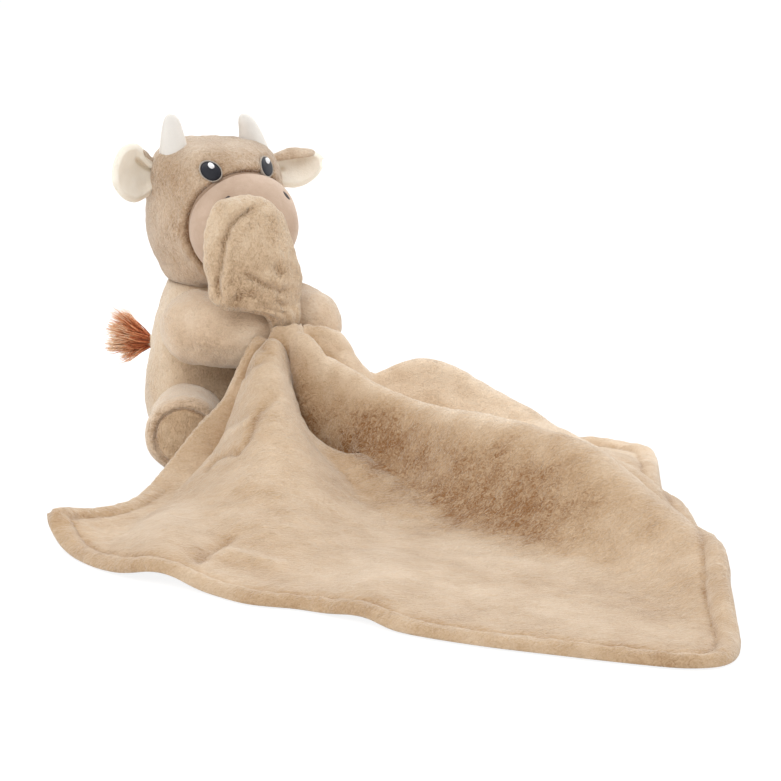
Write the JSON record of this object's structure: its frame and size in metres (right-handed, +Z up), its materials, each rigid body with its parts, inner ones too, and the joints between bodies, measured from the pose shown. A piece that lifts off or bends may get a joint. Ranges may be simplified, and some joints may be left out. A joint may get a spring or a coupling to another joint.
{
  "type": "comfort blanket lovey",
  "caption": "Seated plush calf whose paws hug the gathered corner of a square plush comfort blanket that spreads out in folds in front of it.",
  "frame": {"origin": "centre of the toy's seat, on the surface it stands on", "axes": "+Z up, -Y the way the toy faces and its blanket spreads, +X the toy's left side"},
  "size_m": [0.3237, 0.4931, 0.173],
  "materials": {
    "plush_body": "short pile plush",
    "plush_head": "short pile plush",
    "plush_limb": "short pile plush",
    "plush_sole": "short pile plush",
    "velour_muzzle": "smooth velour",
    "ear_lining": "cream velour",
    "horn_velour": "off-white velour",
    "dark_thread": "dark embroidery thread",
    "pale_thread": "pale embroidery thread",
    "white_thread": "white embroidery thread",
    "tail_plush": "short pile plush",
    "rust_pile": "long pile plush",
    "blanket_plush": "short pile plush",
    "polyester_filling": "loose polyester filling"
  },
  "bodies": {
    "torso": {"body_skin": "plush_body", "body_filling": "polyester_filling", "left_arm_skin": "plush_limb", "left_arm_filling": "polyester_filling", "right_arm_skin": "plush_limb", "right_arm_filling": "polyester_filling", "blanket_under_panel": "blanket_plush", "blanket_upper_panel": "blanket_plush", "blanket_corner": "blanket_plush"},
    "head": {"head_skin": "plush_head", "muzzle_panel": "velour_muzzle", "head_filling": "polyester_filling", "left_eye_rim": "pale_thread", "left_eye": "dark_thread", "left_eye_glint": "white_thread", "right_eye_rim": "pale_thread", "right_eye": "dark_thread", "right_eye_glint": "white_thread", "left_nostril": "dark_thread", "right_nostril": "dark_thread", "left_horn": "horn_velour", "right_horn": "horn_velour"},
    "left_ear": {"left_ear": "plush_head", "left_ear_lining": "ear_lining"},
    "right_ear": {"right_ear": "plush_head", "right_ear_lining": "ear_lining"},
    "left_leg": {"left_leg_skin": "plush_limb", "left_leg_filling": "polyester_filling", "left_foot_sole": "plush_sole"},
    "right_leg": {"right_leg_skin": "plush_limb", "right_leg_filling": "polyester_filling", "right_foot_sole": "plush_sole"},
    "tail": {"tail_stem": "tail_plush", "tail_tuft": "rust_pile"}
  },
  "joints": [
    {"name": "head_turn", "type": "hinge", "parent": "torso", "child": "head", "pos_m": [0, 0, 0.086], "axis": [0, 0, 1], "range_deg": [-20, 20]},
    {"name": "left_ear_flop", "type": "hinge", "parent": "head", "child": "left_ear", "pos_m": [0.03291, 0.00274, 0.14101], "axis": [-0.1132, 0.9936, 0], "range_deg": [-25, 25]},
    {"name": "right_ear_flop", "type": "hinge", "parent": "head", "child": "right_ear", "pos_m": [-0.03268, -0.00473, 0.14402], "axis": [-0.1132, 0.9936, 0], "range_deg": [-25, 15]},
    {"name": "left_leg_swing", "type": "hinge", "parent": "torso", "child": "left_leg", "pos_m": [0.0205, -0.018, 0.0195], "axis": [0, 0, 1], "range_deg": [0, 14]},
    {"name": "right_leg_swing", "type": "hinge", "parent": "torso", "child": "right_leg", "pos_m": [-0.0205, -0.018, 0.0195], "axis": [0, 0, 1], "range_deg": [-14, 0]},
    {"name": "tail_swing", "type": "hinge", "parent": "torso", "child": "tail", "pos_m": [-0.008, 0.03289, 0.047], "axis": [0, 0, 1], "range_deg": [-65, 8]}
  ]
}
